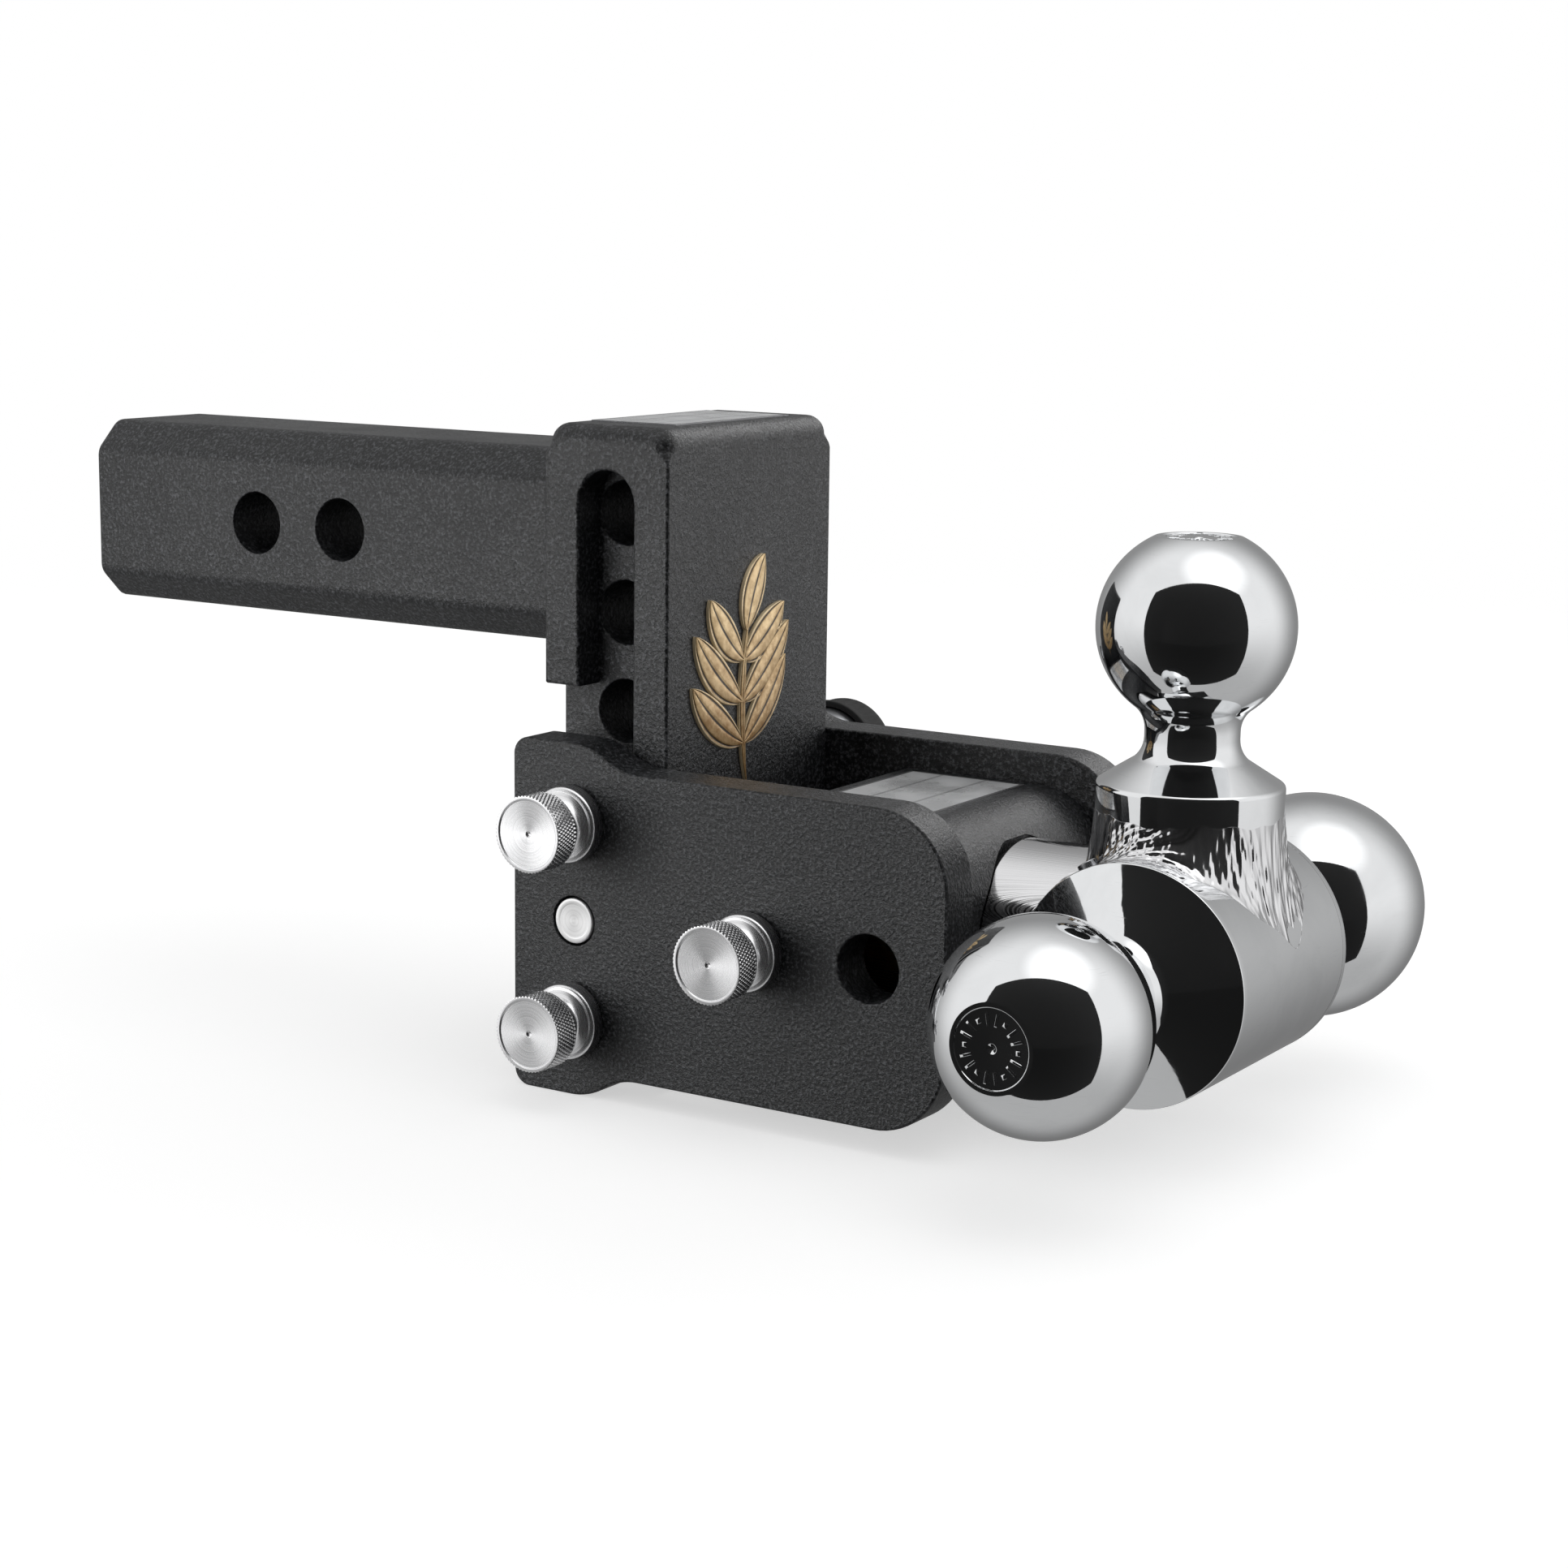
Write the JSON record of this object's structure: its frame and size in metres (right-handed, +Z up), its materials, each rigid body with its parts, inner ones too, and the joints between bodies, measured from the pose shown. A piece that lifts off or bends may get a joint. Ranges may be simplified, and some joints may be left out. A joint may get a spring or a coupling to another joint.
{
  "type": "trailer hitch with ball",
  "caption": "Height-adjustable drop hitch: a square receiver shank, a slotted column, two pinned side plates and a turning chrome head with three tow balls",
  "frame": {"origin": "centre of the hitch pin hole nearest the column, on the shank's middle line", "axes": "+X rearwards from the vehicle to the balls, +Y along the hitch pin hole to the far side, +Z up"},
  "size_m": [0.3629, 0.2013, 0.1699],
  "materials": {
    "powder_coat": "fine textured black powder coat on steel",
    "chrome": "mirror chrome plate on forged steel",
    "rough_chrome": "chrome plate over a ground weld bead",
    "turned_stainless": "turned stainless with tool rings and a knurled grip",
    "plated_steel": "zinc plated steel",
    "bronze": "sintered bronze bearing sleeve",
    "brass_plug": "nickelled brass key plug",
    "rubber": "matt black rubber",
    "gold_inlay": "matt gold enamel with a dark engraved border",
    "silver_label": "silver film label"
  },
  "bodies": {
    "root": {"shank": "powder_coat", "column_core": "powder_coat", "near_rail": "powder_coat", "far_rail": "powder_coat", "emblem": "gold_inlay", "top_label": "silver_label", "near_plate": "powder_coat", "far_plate": "powder_coat", "socket_block": "powder_coat", "block_welds": "powder_coat", "shaft_sleeve": "bronze", "shaft_seal": "rubber", "near_guide_pin": "turned_stainless", "far_guide_pin": "turned_stainless", "socket_label": "silver_label", "plunger_guide": "plated_steel"},
    "upper_pin": {"upper_pin": "turned_stainless", "upper_pin_knob": "turned_stainless", "upper_pin_ring": "rubber"},
    "lower_pin": {"lower_pin": "turned_stainless", "lower_pin_knob": "turned_stainless", "lower_pin_ring": "rubber"},
    "ball_pin": {"ball_pin": "turned_stainless", "ball_pin_knob": "turned_stainless", "ball_pin_clip": "plated_steel", "ball_pin_spring": "plated_steel"},
    "upper_lock": {"upper_lock_body": "plated_steel"},
    "upper_lock_plug": {"upper_lock_plug": "brass_plug"},
    "upper_lock_cap": {"upper_lock_cap": "rubber"},
    "lower_lock": {"lower_lock_body": "plated_steel"},
    "lower_lock_plug": {"lower_lock_plug": "brass_plug"},
    "lower_lock_cap": {"lower_lock_cap": "rubber"},
    "head": {"head_shaft": "chrome", "hub": "chrome", "small_ball": "chrome", "medium_ball": "chrome", "large_ball": "chrome", "collar_weld": "rough_chrome", "shaft_weld": "rough_chrome", "thrust_washer": "plated_steel", "retaining_ring": "plated_steel", "vent_plug": "chrome"}
  },
  "joints": [
    {"name": "head_turn", "type": "hinge", "parent": "root", "child": "head", "pos_m": [0.243, 0, -0.09045], "axis": [1, 0, 0], "range_deg": [-90, 90]},
    {"name": "upper_pin_slide", "type": "slide", "parent": "root", "child": "upper_pin", "axis": [0, -1, 0], "range_m": [0, 0.12]},
    {"name": "lower_pin_slide", "type": "slide", "parent": "root", "child": "lower_pin", "axis": [0, -1, 0], "range_m": [0, 0.12]},
    {"name": "ball_pin_pull", "type": "slide", "parent": "root", "child": "ball_pin", "axis": [0, -1, 0], "range_m": [0, 0.006], "stiffness_N_per_m": 1500, "springref_m": -0.004, "deforming": ["ball_pin_spring"]},
    {"name": "upper_lock_slide", "type": "slide", "parent": "root", "child": "upper_lock", "axis": [0, 1, 0], "range_m": [0, 0.03]},
    {"name": "lower_lock_slide", "type": "slide", "parent": "root", "child": "lower_lock", "axis": [0, 1, 0], "range_m": [0, 0.03]},
    {"name": "upper_key_turn", "type": "hinge", "parent": "upper_lock", "child": "upper_lock_plug", "pos_m": [0.09805, 0.07, -0.06505], "axis": [0, 1, 0], "range_deg": [0, 90]},
    {"name": "lower_key_turn", "type": "hinge", "parent": "lower_lock", "child": "lower_lock_plug", "pos_m": [0.09805, 0.07, -0.11585], "axis": [0, 1, 0], "range_deg": [0, 90]},
    {"name": "upper_cap_slide", "type": "slide", "parent": "upper_lock", "child": "upper_lock_cap", "axis": [0, 1, 0], "range_m": [0, 0.02]},
    {"name": "lower_cap_slide", "type": "slide", "parent": "lower_lock", "child": "lower_lock_cap", "axis": [0, 1, 0], "range_m": [0, 0.02]}
  ]
}
